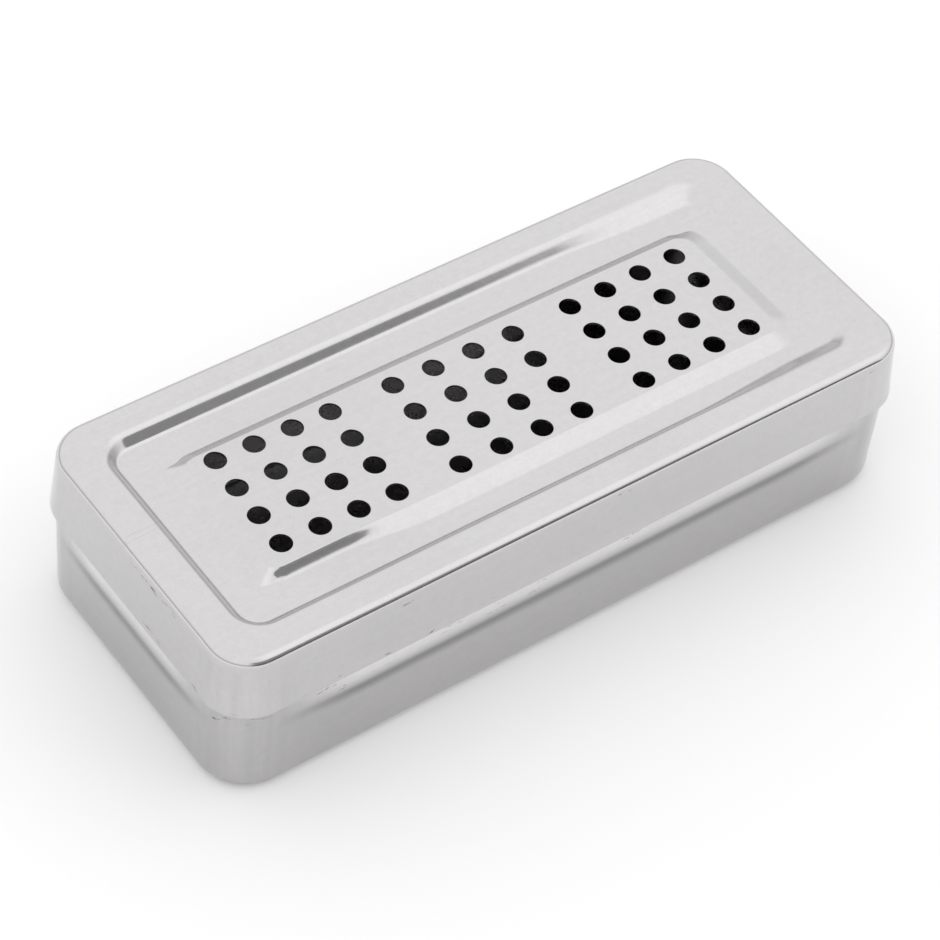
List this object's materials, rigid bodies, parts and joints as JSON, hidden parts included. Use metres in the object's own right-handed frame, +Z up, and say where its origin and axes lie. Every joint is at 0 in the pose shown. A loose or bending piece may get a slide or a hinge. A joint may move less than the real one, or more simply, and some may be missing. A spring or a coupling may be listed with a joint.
{
  "type": "instrument sterilising box",
  "caption": "Rectangular pressed steel box with rounded corners and a perforated lift-off lid that overlaps the base, for holding small instruments in a steriliser.",
  "frame": {"origin": "centre of the base's flat underside", "axes": "+Z up through the lid, +X along the length, +Y across the width"},
  "size_m": [0.18, 0.0772, 0.0415],
  "materials": {
    "base_steel": "satin polished stainless sheet with faint drawing lines and small scuffs",
    "lid_steel": "satin polished stainless sheet, brighter on the pressed top"
  },
  "bodies": {
    "base": {"base_tray": "base_steel"},
    "lid": {"lid": "lid_steel"}
  },
  "joints": [
    {"name": "lid_lift", "type": "slide", "parent": "base", "child": "lid", "axis": [0, 0, 1], "range_m": [0, 0.06]}
  ]
}
